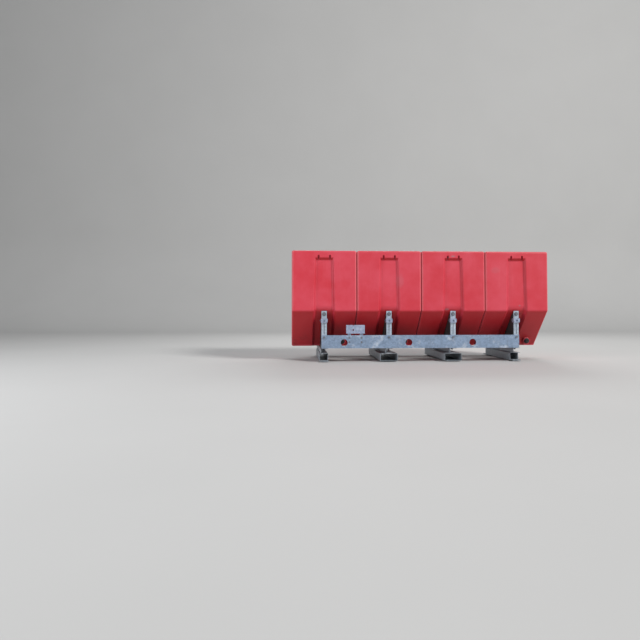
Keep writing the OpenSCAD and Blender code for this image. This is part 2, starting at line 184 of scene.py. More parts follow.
# the tank, with its faces towards -Y and +Y and its middle at x 0
tank = {
    "kneeHeight": 0.589, "heelHeight": 0.181, "heelDepth": 0.133, "wall": 0.008, "pitch": 0.75,
    "ledge": 0.080, "recessDepth": 0.028, "slopeDepth": 0.035,
    "recessTop": 0.104, "recessKnee": 0.123,  # half widths of the recess at its mouth
    "floorTop": 0.094, "floorKnee": 0.097, "floorHeel": 0.102,  # half widths of its floor
    "edge": 0.020, "kneeEdge": 0.016, "rimEdge": 0.008, "floorBend": 0.045, "roundFrom": 12, "segments": 5,
    "notchWidth": 0.022, "notchPitch": 0.130, "notchHeight": 0.030,
    "neckHeight": 0.026, "neckRadius": 0.070, "fillRadius": 0.052,
    "drainAcross": 0.230, "drainHeight": 0.225, "drainRadius": 0.0225, "bossRadius": 0.040,
}
tankLow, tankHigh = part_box("tank_1")
tankBottom = tankLow.z
tankTop = tankHigh.z - tank["neckHeight"]
tankHalf = (tankHigh.x - tankLow.x) / 2
faceY = tankLow.y
slopeTan = (-tank["heelDepth"] - faceY) / (tank["kneeHeight"] - tank["heelHeight"])
slopeCos = math.cos(math.atan(slopeTan))
ledgeZ = tankTop - tank["ledge"]
tankXs = [sum(corner.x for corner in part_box(f"tank_{n}")) / 2 for n in range(1, 5)]


def slopeY(inset, z):
    return faceY + (tank["kneeHeight"] - z) * slopeTan + inset / slopeCos


def slopeZ(inset, y):
    return tank["kneeHeight"] - (y - faceY - inset / slopeCos) / slopeTan


def near(a, b):
    return abs(a - b) < same


def tankShape():
    shell = addBox("tankShell", (-tankHalf, faceY, tankBottom), (tankHalf, -faceY, tankTop))
    inEdit(shell)
    lean = math.atan((tank["recessKnee"] - tank["recessTop"]) / (tankTop - tank["kneeHeight"]))
    cuts = [((0, 0, z), (0, 0, 1)) for z in (tank["heelHeight"], tank["kneeHeight"], ledgeZ)]
    cuts += [
        ((side * tank["recessTop"], 0, tankTop), (side * math.cos(lean), 0, math.sin(lean))) for side in (-1, 1)
    ]
    for point, normal in cuts:
        bpy.ops.mesh.select_all(action="SELECT")
        bpy.ops.mesh.bisect(plane_co=point, plane_no=normal)
    mesh = bmesh.from_edit_mesh(shell.data)
    for vert in mesh.verts:
        if vert.co.z < tank["heelHeight"] + same:
            vert.co.y = math.copysign(tank["heelDepth"], vert.co.y)
        if vert.co.z < tank["kneeHeight"] - same and abs(vert.co.x) < tankHalf - same:
            vert.co.x = math.copysign(tank["recessKnee"], vert.co.x)
    bmesh.update_edit_mesh(shell.data)
    # press the recess in, front and rear, then close the bottom around it
    for side in (-1, 1):
        bpy.ops.mesh.select_all(action="DESELECT")
        pickFaces(shell, lambda c, n, v: abs(c.x) < tank["recessTop"] and tankBottom + same < c.z < ledgeZ
                  and c.y * side > same)
        bpy.ops.mesh.extrude_region()
        mesh = bmesh.from_edit_mesh(shell.data)
        for vert in [v for v in mesh.verts if v.select]:
            z = vert.co.z
            if near(z, ledgeZ):
                half, y, z = tank["floorTop"], faceY + tank["recessDepth"], ledgeZ - tank["recessDepth"]
            elif near(z, tank["kneeHeight"]):
                half, y = tank["floorKnee"], faceY + tank["recessDepth"]
                z = slopeZ(tank["slopeDepth"], y)
            else:
                half, y = tank["floorHeel"], -tank["heelDepth"] + tank["slopeDepth"]
                z = z if near(z, tankBottom) else z + tank["slopeDepth"] * math.tan(math.atan(slopeTan) / 2)
            vert.co = (math.copysign(half, vert.co.x), -side * y, z)
        bmesh.update_edit_mesh(shell.data)
    bpy.ops.mesh.select_all(action="DESELECT")
    pickFaces(shell, lambda c, n, v: all(near(corner.co.z, tankBottom) for corner in v))
    bpy.ops.mesh.delete(type="FACE")
    bpy.ops.mesh.select_mode(type="EDGE")
    bpy.ops.mesh.select_non_manifold()
    bpy.ops.mesh.edge_face_add()
    allOutwards()
    leaveEdit()
    return shell


def edgeRadius(a, b):
    middle = (a + b) / 2
    level = near(a.z, b.z)
    recessFloor = ledgeZ - tank["recessDepth"]
    if near(abs(a.x), tankHalf) and near(abs(b.x), tankHalf) or near(middle.z, tankTop):
        return tank["edge"]
    if near(middle.x, 0) and tank["kneeHeight"] + same < middle.z < recessFloor - same:
        return tank["floorBend"]
    if level and near(middle.z, tank["kneeHeight"]):
        return tank["kneeEdge"]
    if level and tankBottom + same < middle.z < tank["heelHeight"] + tank["slopeDepth"]:
        return 0  # the heel's crease stays sharp
    return tank["rimEdge"]


def roundTank(shell):
    inEdit(shell, "EDGE")
    bpy.ops.mesh.select_all(action="SELECT")
    bpy.ops.mesh.dissolve_limited(angle_limit=math.radians(1))
    leaveEdit()
    mesh = bmesh.new()
    mesh.from_mesh(shell.data)
    weight = mesh.edges.layers.float.new("bevel_weight_edge")
    widest = max(tank["edge"], tank["floorBend"])
    for edge in mesh.edges:
        if len(edge.link_faces) == 2 and edge.calc_face_angle() >= math.radians(tank["roundFrom"]):
            edge[weight] = edgeRadius(edge.verts[0].co, edge.verts[1].co) / widest
    mesh.to_mesh(shell.data)
    mesh.free()
    applyModifier(shell, "BEVEL", width=widest, segments=tank["segments"], limit_method="WEIGHT",
                  use_clamp_overlap=False, miter_outer="MITER_ARC")


# how far the cutting tools reach past what they cut
reach = {
    "notchIn": 0.0001, "notchOut": 0.02, "arch": 0.05, "mouth": 0.03, "drainFrom": -0.10, "drain": 0.20, "rim": 0.001,
}


def openTank(shell):
    # two lifting notches over each recess
    floorY = -faceY - tank["recessDepth"]
    half = tank["notchWidth"] / 2
    top = ledgeZ + tank["notchHeight"] - half
    for side in (-1, 1):
        for across in (-1, 1):
            x = across * tank["notchPitch"] / 2
            tool = addBox("notchTool", (x - half, side * floorY - reach["notchIn"], ledgeZ - tank["recessDepth"]),
                          (x + half, side * (reach["notchOut"] - faceY), top))
            arch = addCylinder("archTool", (x, side * floorY, top), half, reach["arch"], "-Y" if side < 0 else "Y", 24)
            carve(tool, arch, "UNION")
            carve(shell, tool)
    # the neck and the drain are opened as clean rims, ready for the wall's thickness
    mouth = addCylinder("mouthTool", (0, 0, tankTop - reach["mouth"]), tank["fillRadius"], 2 * reach["mouth"], "Z", 64)
    carve(shell, mouth)
    drain = addCylinder("drainTool", (tank["drainAcross"], reach["drainFrom"], tank["drainHeight"]),
                        tank["drainRadius"], reach["drain"], "-Y", 32)
    carve(shell, drain)

    def cutByMouth(c, n, v):
        inside = math.hypot(c.x, c.y) < tank["fillRadius"] + reach["rim"]
        return inside and tankTop - reach["mouth"] - reach["rim"] < c.z < tankTop - reach["rim"]

    def cutByDrain(c, n, v):
        inside = math.hypot(c.x - tank["drainAcross"], c.z - tank["drainHeight"]) < tank["drainRadius"] + reach["rim"]
        return inside and abs(c.y - slopeY(0, c.z)) > reach["rim"] and c.y < 0

    inEdit(shell)
    pickFaces(shell, cutByMouth)
    pickFaces(shell, cutByDrain)
    bpy.ops.mesh.delete(type="FACE")
    leaveEdit()
    applyModifier(shell, "SOLIDIFY", thickness=tank["wall"], offset=-1, use_rim=True)
    # the mitres of the lowest corners stand out a little, so they go back to the faces
    for vert in shell.data.vertices:
        vert.co.x = max(-tankHalf, min(tankHalf, vert.co.x))
        vert.co.z = max(tankBottom, vert.co.z)


def spunRing(name, profile, sides=64, axis="Z", centre=(0, 0, 0)):
    # spins a closed outline of (radius, height) points round Z, then turns it to its axis
    outline = [(n, (n + 1) % len(profile)) for n in range(len(profile))]
    ring = lineObject(name, [(radius, 0, height) for radius, height in profile], outline)
    inEdit(ring, "VERT")
    bpy.ops.mesh.select_all(action="SELECT")
    bpy.ops.mesh.spin(steps=sides, angle=2 * pi, center=(0, 0, 0), axis=(0, 0, 1), use_auto_merge=True)
    bpy.ops.mesh.select_all(action="SELECT")
    bpy.ops.mesh.remove_doubles(threshold=1e-5)
    bpy.ops.mesh.normals_make_consistent(inside=False)
    leaveEdit()
    ring.rotation_euler = turned[axis]
    ring.location = centre
    activate(ring)
    bpy.ops.object.transform_apply(location=True, rotation=True, scale=True)
    return ring


ridge = {"root": 0.001, "rootShare": 0.32, "crestShare": 0.14, "stepsPerTurn": 48}


def threadRidge(name, radius, depth, pitch, turns, bottom):
    low, high = pitch * ridge["rootShare"], pitch * ridge["crestShare"]
    root, crest = radius - ridge["root"], radius + depth
    outline = [(root, 0, -low / 2), (crest, 0, -high / 2), (crest, 0, high / 2), (root, 0, low / 2)]
    thread = lineObject(name, outline, [(n, (n + 1) % 4) for n in range(4)])
    steps = int(ridge["stepsPerTurn"] * turns)
    applyModifier(thread, "SCREW", axis="Z", angle=2 * pi * turns, screw_offset=pitch * turns, steps=steps,
                  render_steps=steps, use_smooth_shade=False, use_merge_vertices=False)
    inEdit(thread, "EDGE")
    bpy.ops.mesh.select_non_manifold()
    bpy.ops.mesh.edge_face_add()
    allOutwards()
    bpy.ops.transform.translate(value=(0, 0, bottom))
    leaveEdit()
    return thread


neckRing = {
    "lip": 0.003, "sunk": 0.009, "flare": 0.006, "threadRoot": 0.002, "ridge": 0.0018, "pitch": 0.012,
    "turns": 1.15, "threadUp": 0.006, "sides": 64,
}
bossRing = {"sunk": 0.040, "sides": 48}


def neckPiece():
    inner, outer = tank["fillRadius"], tank["neckRadius"]
    height, lip = tank["neckHeight"], neckRing["lip"]
    stem = outer - neckRing["threadRoot"]
    flare = outer + neckRing["flare"]
    return spunRing("neck", [
        (inner, -neckRing["sunk"]), (flare, -neckRing["sunk"]), (flare, 0.0004), (outer + 0.001, 0.0012),
        (stem, 0.004), (stem, height - lip), (stem - lip * 0.3, height - lip * 0.3), (stem - lip, height),
        (inner + lip, height), (inner + lip * 0.3, height - lip * 0.3), (inner, height - lip),
    ], neckRing["sides"], "Z", (0, 0, tankTop))


def bossPiece():
    inner, outer = tank["drainRadius"], tank["bossRadius"]
    back = slopeY(0, tank["drainHeight"]) + bossRing["sunk"]
    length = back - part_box("drain_gasket_1")[1].y
    return spunRing("boss", [
        (inner, 0), (outer, 0), (outer, length - 0.003), (outer - 0.001, length - 0.001), (outer - 0.003, length),
        (inner + 0.002, length), (inner, length - 0.002),
    ], bossRing["sides"], "-Y", (tank["drainAcross"], back, tank["drainHeight"]))


def buildTanks(material):
    shell = tankShape()
    roundTank(shell)
    openTank(shell)
    neck = neckPiece()
    thread = threadRidge("neckThread", tank["neckRadius"] - neckRing["threadRoot"], neckRing["ridge"],
                         neckRing["pitch"], neckRing["turns"], tankTop + neckRing["threadUp"])
    shell = joinAll("tankShell", [shell, neck, thread, bossPiece()])
    smooth(shell)
    for n, x in enumerate(tankXs, 1):
        piece = copyTo(shell, f"tankShell{n}", (x, 0, 0))
        settle(piece, f"tank_{n}", "cradle", material)
    bpy.data.objects.remove(shell)
    print("tanks done")


# materials: a wire is a node's output, and sums on wires add their Math nodes
class Wire:
    def __init__(self, paint, socket):
        self.paint = paint
        self.socket = socket

    def __add__(self, other):
        return self.paint.maths("ADD", self, other)

    def __sub__(self, other):
        return self.paint.maths("SUBTRACT", self, other)

    def __rsub__(self, other):
        return self.paint.maths("SUBTRACT", other, self)

    def __mul__(self, other):
        return self.paint.maths("MULTIPLY", self, other)

    def __truediv__(self, other):
        return self.paint.maths("DIVIDE", self, other)

    def __pow__(self, other):
        return self.paint.maths("POWER", self, other)

    def __abs__(self):
        return self.paint.maths("ABSOLUTE", self)

    def __lt__(self, other):
        return self.paint.maths("LESS_THAN", self, other)

    __radd__ = __add__
    __rmul__ = __mul__


class Paint:
    def __init__(self, name, **constants):
        self.material = bpy.data.materials.new(name)
        self.material.use_nodes = True
        self.tree = self.material.node_tree
        self.shader = self.tree.nodes["Principled BSDF"]
        for socket, value in constants.items():
            self.shader.inputs[socket.replace("_", " ")].default_value = value
        self.place = self.add("ShaderNodeTexCoord", out="Object")

    def feed(self, socket, value):
        if isinstance(value, Wire):
            self.tree.links.new(value.socket, socket)
        else:
            socket.default_value = value

    def add(self, kind, settings=None, out=0, **values):
        # a value's key is its socket's name, or i and its number where names repeat
        node = self.tree.nodes.new(kind)
        for name, value in (settings or {}).items():
            setattr(node, name, value)
        for name, value in values.items():
            key = int(name[1:]) if name[0] == "i" and name[1:].isdigit() else name.replace("_", " ")
            self.feed(node.inputs[key], value)
        return Wire(self, node.outputs[out])

    def maths(self, operation, *values):
        return self.add("ShaderNodeMath", {"operation": operation}, **{f"i{n}": v for n, v in enumerate(values)})

    def noise(self, scale, detail=3, roughness=0.55, stretch=None, shift=0.0):
        vector = self.place
        if stretch or shift:
            vector = self.add("ShaderNodeMapping", Vector=vector, Scale=stretch or (1, 1, 1),
                              Location=(shift, shift, shift))
        return self.add("ShaderNodeTexNoise", out="Fac", Vector=vector, Scale=scale, Detail=detail,
                        Roughness=roughness)

    def step(self, value, low, high):
        return self.add("ShaderNodeMapRange", {"interpolation_type": "SMOOTHSTEP"}, Value=value,
                        i1=low, i2=high, i3=0.0, i4=1.0)

    def mix(self, factor, a, b):
        a = a if isinstance(a, Wire) else (*a, 1)
        b = b if isinstance(b, Wire) else (*b, 1)
        return self.add("ShaderNodeMix", {"data_type": "RGBA"}, out=2, i0=factor, i6=a, i7=b)

    def split(self, vector):
        node = self.add("ShaderNodeSeparateXYZ", i0=vector).socket.node
        return [Wire(self, output) for output in node.outputs]

    def axes(self):
        return self.split(self.place)

    def facing(self):
        return self.split(self.add("ShaderNodeNewGeometry", out="Normal"))

    def finish(self, colour, roughness, height=None, strength=0.3, distance=0.001, metal=None):
        self.feed(self.shader.inputs["Base Color"], colour)
        self.feed(self.shader.inputs["Roughness"], roughness)
        if metal is not None:
            self.feed(self.shader.inputs["Metallic"], metal)
        if height is not None:
            bump = self.add("ShaderNodeBump", out="Normal", Height=height, Strength=strength, Distance=distance)
            self.feed(self.shader.inputs["Normal"], bump)
        return self.material


# the shaded red is painted shade for faces that look down; the chalky red serves both weathering and a painted
# highlight on the tanks' edges
red = {
    "deep": (0.515, 0.026, 0.044), "sunned": (0.580, 0.061, 0.094), "shaded": (0.46, 0.009, 0.010),
    "chalk": (0.72, 0.22, 0.24), "dust": (0.46, 0.13, 0.12), "grime": (0.12, 0.035, 0.033),
    "scuff": (0.27, 0.15, 0.17), "pale": (0.80, 0.46, 0.46),
}
# scuffs on the front: place along the row, height, half width, half height, strength
scuffs = [
    (0.305, 0.607, 0.030, 0.014, 0.5), (0.262, 0.597, 0.008, 0.006, 0.5), (0.372, 1.222, 0.030, 0.010, 0.7),
    (0.318, 1.206, 0.016, 0.006, 0.6), (1.168, 0.650, 0.012, 0.010, 0.7), (-0.250, 0.930, 0.050, 0.085, 0.16),
    (0.870, 1.060, 0.060, 0.040, 0.14),
]


def tankPlastic():
    paint = Paint("tankPlastic", Specular_IOR_Level=0.45)
    x, y, z = paint.axes()
    up = paint.facing()[2]
    slow = paint.noise(1.9, 3)
    mottle = paint.noise(9, 5, 0.6, shift=4.0)
    grain = paint.noise(150, 3, 0.6)
    fine = paint.noise(520, 2)
    streaks = paint.noise(1, 5, 0.65, stretch=(42, 42, 1.5))
    sunned = paint.step(slow * 0.65 + mottle * 0.35, 0.34, 0.66)
    colour = paint.mix(sunned * 0.75 + (grain - 0.5) * 0.25, red["deep"], red["sunned"])
    # painted shade: faces that look down are mixed towards a darker, shaded red
    shade = paint.step(0 - up, 0.25, 0.60)
    colour = paint.mix(shade * 0.7, colour, red["shaded"])
    # the corners of each tank and its upper rim turn paler: partly bleached wear, partly a painted highlight, which is
    # weaker where faces look down
    halfPitch = tank["pitch"] / 2
    across = abs(paint.maths("WRAP", x + 2 * tank["pitch"], tank["pitch"], 0.0) - halfPitch)
    edgeWearAndHighlight = paint.step(across + mottle * 0.01, 0.354, 0.370)
    rim = paint.step(z + mottle * 0.02, 1.268, 1.290)
    colour = paint.mix(edgeWearAndHighlight * (0.36 - shade * 0.30) + rim * 0.14, colour, red["chalk"])
    rain = paint.step(streaks, 0.54, 0.78) * paint.step(z, 0.45, 1.25)
    colour = paint.mix(rain * 0.13, colour, red["chalk"])
    # dust lies on what faces up, and grime clings low down
    dust = paint.step(up, 0.55, 0.95) * paint.step(mottle * 0.6 + slow * 0.4, 0.30, 0.72)
    colour = paint.mix(dust * 0.42, colour, red["dust"])
    low = 1 - paint.step(z + mottle * 0.14, 0.22, 0.52)
    grime = low * paint.step(paint.noise(8, 6, 0.7, shift=9.0), 0.40, 0.68)
    colour = paint.mix(grime * 0.38, colour, red["grime"])
    scratch = paint.step(paint.noise(1, 6, 0.8, stretch=(13, 13, 90), shift=2.0), 0.66, 0.70)
    scratch = scratch * paint.step(mottle, 0.52, 0.60)
    colour = paint.mix(scratch * 0.35, colour, red["pale"])
    specks = paint.step(paint.noise(60, 4, 0.7, shift=12.0), 0.70, 0.74) * paint.step(z, 1.255, 1.279)
    colour = paint.mix(specks * 0.5, colour, red["pale"])
    front = y < 0
    ragged = paint.noise(75, 5, 0.75, shift=5.0)
    for alongRow, height, halfWidth, halfHeight, strength in scuffs:
        gap = ((x - alongRow) / halfWidth) ** 2 + ((z - height) / halfHeight) ** 2
        scuff = (1 - paint.step(gap + ragged * 1.6, 0.9, 2.1)) * front
        colour = paint.mix(scuff * strength, colour, red["scuff"])
    roughness = 0.38 + mottle * 0.10 + grain * 0.06 + dust * 0.2 + scratch * 0.1 + grime * 0.15
    relief = fine * 0.25 + grain * 0.55 + slow * 2.2 - scratch * 0.4
    return paint.finish(colour, roughness, relief, 0.4, 0.0014)


# the near black coat tone is a painted shade for the posts' sides
zinc = {
    "bloom": (0.62, 0.64, 0.65), "grime": (0.17, 0.17, 0.165), "rust": (0.22, 0.09, 0.035),
    "coat": (0.032, 0.034, 0.037), "lighter": 1.18, "darker": 0.74,
}


def galvanised(name, tone, crystal=58, rust=0.0, darkSides=0.0):
    paint = Paint(name)
    cells = paint.add("ShaderNodeTexVoronoi", {"feature": "F1"}, out="Color", Vector=paint.place, Scale=crystal,
                      Randomness=1.0)
    spangle = paint.add("ShaderNodeSeparateColor", i0=cells)
    cloud = paint.noise(9, 5, 0.65)
    fine = paint.noise(190, 3)
    streaks = paint.noise(1, 4, 0.6, stretch=(60, 60, 4))
    light = tuple(min(1, c * zinc["lighter"]) for c in tone)
    dark = tuple(c * zinc["darker"] for c in tone)
    colour = paint.mix(spangle * 0.55 + cloud * 0.35, dark, light)
    white = paint.step(cloud + fine * 0.25, 0.66, 0.86)
    colour = paint.mix(white * 0.5, colour, zinc["bloom"])
    grime = paint.step(streaks, 0.55, 0.8)
    colour = paint.mix(grime * 0.3, colour, zinc["grime"])
    if rust:
        spots = paint.step(paint.noise(38, 5, 0.7, shift=6.0), 0.70 - rust * 0.1, 0.78)
        colour = paint.mix(spots * 0.7, colour, zinc["rust"])
        white = white + spots * 0.6
    if darkSides:
        # painted shade: the posts' sides, facing -X and +X, are darkened nearly to black
        sideShadeMask = paint.step(abs(paint.facing()[0]), 0.62, 0.88)
        colour = paint.mix(sideShadeMask * darkSides, colour, zinc["coat"])
        white = white * (1 - sideShadeMask)
    roughness = 0.36 + spangle * 0.12 + white * 0.22 + grime * 0.1
    metal = 0.55 - white * 0.3
    return paint.finish(colour, roughness, spangle * 0.25 + fine * 0.5, 0.25, 0.0006, metal)


black = {"coat": (0.027, 0.031, 0.032), "dusty": (0.062, 0.064, 0.061), "worn": (0.12, 0.115, 0.11)}


def blackCoat():
    paint = Paint("blackCoat", Specular_IOR_Level=0.4)
    peel = paint.noise(320, 2)
    wear = paint.step(paint.noise(26, 5, 0.7), 0.68, 0.74)
    dust = paint.step(paint.noise(8, 4), 0.4, 0.75)
    colour = paint.mix(dust * 0.5, black["coat"], black["dusty"])
    colour = paint.mix(wear * 0.6, colour, black["worn"])
    return paint.finish(colour, 0.42 + dust * 0.2 + wear * 0.1, peel - wear * 0.6, 0.25, 0.0006)


def blackRubber(name, tone):
    paint = Paint(name, Specular_IOR_Level=0.3)
    grain = paint.noise(420, 2)
    dust = paint.step(paint.noise(14, 5, 0.65), 0.38, 0.75)
    colour = paint.mix(dust * 0.5, tone, tuple(c + 0.05 for c in tone))
    return paint.finish(colour, 0.72 + dust * 0.15, grain, 0.3, 0.0005)


def mouldedPlastic(name, tone, gloss):
    paint = Paint(name, Specular_IOR_Level=0.45)
    fine = paint.noise(260, 3)
    cloud = paint.noise(20, 4)
    pale = tuple(min(1, c * 1.18 + 0.01) for c in tone)
    colour = paint.mix(paint.step(cloud, 0.3, 0.75) * 0.6, tone, pale)
    dust = paint.step(paint.facing()[2], 0.6, 0.95) * paint.step(cloud, 0.3, 0.8)
    colour = paint.mix(dust * 0.16, colour, (0.30, 0.22, 0.19))
    return paint.finish(colour, gloss + cloud * 0.15 + dust * 0.2, fine, 0.22, 0.0006)


def concreteFloor():
    paint = Paint("studioFloor")
    cloud = paint.noise(0.7, 3)
    colour = paint.mix(cloud, (0.45, 0.45, 0.445), (0.48, 0.48, 0.475))
    return paint.finish(colour, 0.75)


# one material for each material slot of the record
materials = {
    "tank_plastic": tankPlastic(),
    "cap_plastic": mouldedPlastic("capPlastic", (0.30, 0.022, 0.03), 0.36),
    "plug_plastic": mouldedPlastic("plugPlastic", (0.02, 0.02, 0.022), 0.30),
    "seal_rubber": blackRubber("sealRubber", (0.02, 0.02, 0.021)),
    "rubber": blackRubber("sheetRubber", (0.026, 0.026, 0.025)),
    # the posts get a painted shade on their sides
    "galvanised_post": galvanised("galvanisedPost", (0.45, 0.53, 0.63), darkSides=0.9),
    "galvanised_plate": galvanised("galvanisedPlate", (0.37, 0.43, 0.58), 70),
    "galvanised_rail": galvanised("galvanisedRail", (0.27, 0.36, 0.50), 60),
    "galvanised_base": galvanised("galvanisedBase", (0.33, 0.37, 0.41), 46, 0.4),
    "dark_steel": blackCoat(),
    "zinc_bolts": galvanised("zincBolts", (0.19, 0.20, 0.23), 260, 0.4),
}
slotOf = {part["node"]: part["material_slot"] for part in frame["record"]["subparts"]}
bodyOf = {node: body for body, members in frame["record"]["behaviour"]["bodies"].items() for node in members}
print("materials done")


def settleOn(piece, node):
    settle(piece, node, bodyOf[node], materials[slotOf[node]])


# the fill cap: a ribbed shell with a grip bar, made at the origin over the tank's top
cap = {
    "inner": 0.0706, "wall": 0.008, "lift": 0.004, "rim": 0.030, "edge": 0.0035, "dish": 0.0015, "dishFrom": 0.014,
    "sides": 96, "ribs": 16, "ribRadius": 0.0034, "ribSunk": 0.0004, "ribEdge": 0.0016,
    "bar": 0.012, "barHalf": 0.008, "barInset": 0.010, "barSunk": 0.005, "barTaper": (0.97, 0.72, 1), "barEdge": 0.0038,
}
chamfer = 0.001  # on the caps' and plugs' small rims
poleGap = 0.0006  # the spun outlines stop this short of their axis


def capShell():
    inner, outer = cap["inner"], cap["inner"] + cap["wall"]
    rim, lift, edge = cap["rim"], cap["lift"], cap["edge"]
    top = rim + cap["wall"]
    turns = [n * pi / 8 for n in range(5)]
    shoulder = [(outer - edge + edge * math.sin(a), top - edge + edge * math.cos(a)) for a in turns]
    dishEdge = outer - cap["dishFrom"]
    return spunRing("capShape", [
        (poleGap, rim), (inner - chamfer, rim), (inner, rim - chamfer), (inner, lift + chamfer),
        (inner + chamfer, lift), (outer - chamfer, lift), (outer, lift + chamfer), *reversed(shoulder),
        (dishEdge, top), (dishEdge - 0.003, top - cap["dish"]), (poleGap, top - cap["dish"]),
    ], cap["sides"])


def capRibs():
    outer = cap["inner"] + cap["wall"]
    rib = addCylinder("capRib", (outer - cap["ribSunk"], 0, cap["lift"] + chamfer), cap["ribRadius"],
                      cap["rim"] - 0.003, "Z", 16)
    soften(rib, cap["ribEdge"], 3, 50)
    ribs = [rib]
    for n in range(1, cap["ribs"]):
        twin = copyTo(rib, f"capRib{n}")
        inEdit(twin)
        bpy.ops.mesh.select_all(action="SELECT")
        bpy.ops.transform.rotate(value=n * 2 * pi / cap["ribs"], orient_axis="Z", center_override=(0, 0, 0))
        leaveEdit()
        ribs.append(twin)
    return ribs


def capBar():
    outer = cap["inner"] + cap["wall"]
    high = cap["rim"] + cap["wall"] + cap["bar"]
    reachOut = outer - cap["barInset"]
    low = cap["rim"] + cap["wall"] - cap["barSunk"]
    bar = addBox("capBar", (-reachOut, -cap["barHalf"], low), (reachOut, cap["barHalf"], high))
    inEdit(bar)
    pickFaces(bar, lambda c, n, v: n.z > 0.9)
    bpy.ops.transform.resize(value=cap["barTaper"], center_override=(0, 0, high))
    leaveEdit()
    soften(bar, cap["barEdge"], 4, 40)
    return bar


def buildCaps():
    shape = joinAll("capShape", [capShell(), *capRibs(), capBar()])
    smooth(shape)
    for n, x in enumerate(tankXs, 1):
        settleOn(copyTo(shape, f"fillCapShown{n}", (x, 0, tankTop)), f"fill_cap_{n}")
    bpy.data.objects.remove(shape)
    print("caps done")


# the drain plug, made upright at the origin and then laid towards -Y
plug = {
    "length": 0.028, "radius": 0.0205, "seal": 0.003, "flange": 0.032, "flangeHeight": 0.008, "poleGap": 0.0004,
    "nose": 0.004, "noseRadius": 0.016, "hex": 0.021, "hexHeight": 0.018, "hexEdge": 0.0006,
    "coneWidth": 0.002, "coneDrop": 0.0035, "socketHalf": 0.0065, "socketDepth": 0.009,
    "thread": 0.0013, "pitch": 0.006, "turns": 3.4,
}


def plugStem():
    length, radius, seal = plug["length"], plug["radius"], plug["seal"]
    pole, nose, flange = plug["poleGap"], plug["noseRadius"], plug["flange"]
    base = seal + plug["flangeHeight"]
    return spunRing("plugShape", [
        (pole, -length + plug["nose"]), (nose - chamfer, -length + plug["nose"]), (nose, -length),
        (radius - 0.002, -length), (radius, -length + 0.002), (radius, seal), (flange - chamfer, seal),
        (flange, seal + chamfer), (flange, base - 0.0035), (flange - chamfer, base - 0.0012),
        (flange - 0.003, base), (pole, base),
    ], 64)


def plugHead():
    # a hexagon with a chamfered top and a square key socket
    base = plug["seal"] + plug["flangeHeight"]
    top = base + plug["hexHeight"]
    hexRadius, half = plug["hex"], plug["socketHalf"]
    head = addCylinder("plugHex", (0, 0, base - 0.001), hexRadius, plug["hexHeight"] + 0.001, "Z", 6)
    wide, drop, over = hexRadius + plug["coneWidth"], plug["coneDrop"], 0.0002
    cone = spunRing("hexCone", [
        (0.0, base - 0.002), (wide, base - 0.002), (wide, top - drop), (hexRadius - drop, top + over),
        (0.0, top + over),
    ], 48)
    carve(head, cone, "INTERSECT")
    carve(head, addBox("plugSocket", (-half, -half, top - plug["socketDepth"]), (half, half, top + 0.003)))
    soften(head, plug["hexEdge"], 2, 20)
    return head


def buildPlugs():
    stem = plugStem()
    thread = threadRidge("plugThread", plug["radius"], plug["thread"], plug["pitch"], plug["turns"],
                         plug["nose"] - plug["length"])
    shape = joinAll("plugShape", [stem, thread, plugHead()])
    inEdit(shape)
    bpy.ops.mesh.select_all(action="SELECT")
    bpy.ops.transform.rotate(value=-pi / 2, orient_axis="X", center_override=(0, 0, 0))
    leaveEdit()
    smooth(shape)
    for n in range(1, 5):
        low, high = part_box(f"drain_gasket_{n}")
        place = ((low.x + high.x) / 2, high.y, (low.z + high.z) / 2)
        settleOn(copyTo(shape, f"drainPlugShown{n}", place), f"drain_plug_{n}")
    bpy.data.objects.remove(shape)
    print("plugs done")


buildTanks(materials["tank_plastic"])
buildCaps()
buildPlugs()

# outer and inner radius of each folded section, and the places of bends that aren't on a box's face
bends = {
    "post": (0.005, 0.0012), "channel": (0.009, 0.003), "skid": (0.008, 0.002), "beam": (0.008, 0.002),
    "rail": (0.008, 0.002), "strap": (0.007, 0.0015), "plate": (0.0055, 0.0015),
    "railFace": 0.476, "strapFront": 0.490, "strapBack": 0.484, "plateFold": 0.330,
}


def runsAlong(axis, a, b, length):
    step = [abs(v) for v in b - a]
    return step.pop(axis) > length and max(step) < same


def bendRadius(section, outside):
    return bends[section][0 if outside else 1]


# each of these gives the radius of the edge from a to b, or nothing; low and high are the node's box
def postRoll(a, b, outside, low, high):
    return runsAlong(2, a, b, 0.2) and bendRadius("post", outside)


def channelRoll(a, b, outside, low, high):
    return runsAlong(1, a, b, 0.5) and bendRadius("channel", outside)


def skidRoll(a, b, outside, low, high):
    return runsAlong(1, a, b, 0.5) and (near(a.z, high.z) or not outside) and bendRadius("skid", outside)


def beamRoll(a, b, outside, low, high):
    return runsAlong(1, a, b, 0.5) and (near(a.x, low.x) or not outside) and bendRadius("beam", outside)


def railRoll(a, b, outside, low, high):
    folded = near(a.z, low.z) and near(abs(a.y), bends["railFace"]) or not outside
    return runsAlong(0, a, b, 0.9) and folded and bendRadius("rail", outside)


def strapRoll(a, b, outside, low, high):
    folded = near(abs(a.y), bends["strapFront"]) if outside else near(abs(a.y), bends["strapBack"])
    return runsAlong(2, a, b, 0.03) and folded and bendRadius("strap", outside)


def plateRoll(a, b, outside, low, high):
    folded = near(a.y, high.y) and near(a.z, bends["plateFold"]) or not outside
    return runsAlong(0, a, b, 0.05) and folded and bendRadius("plate", outside)


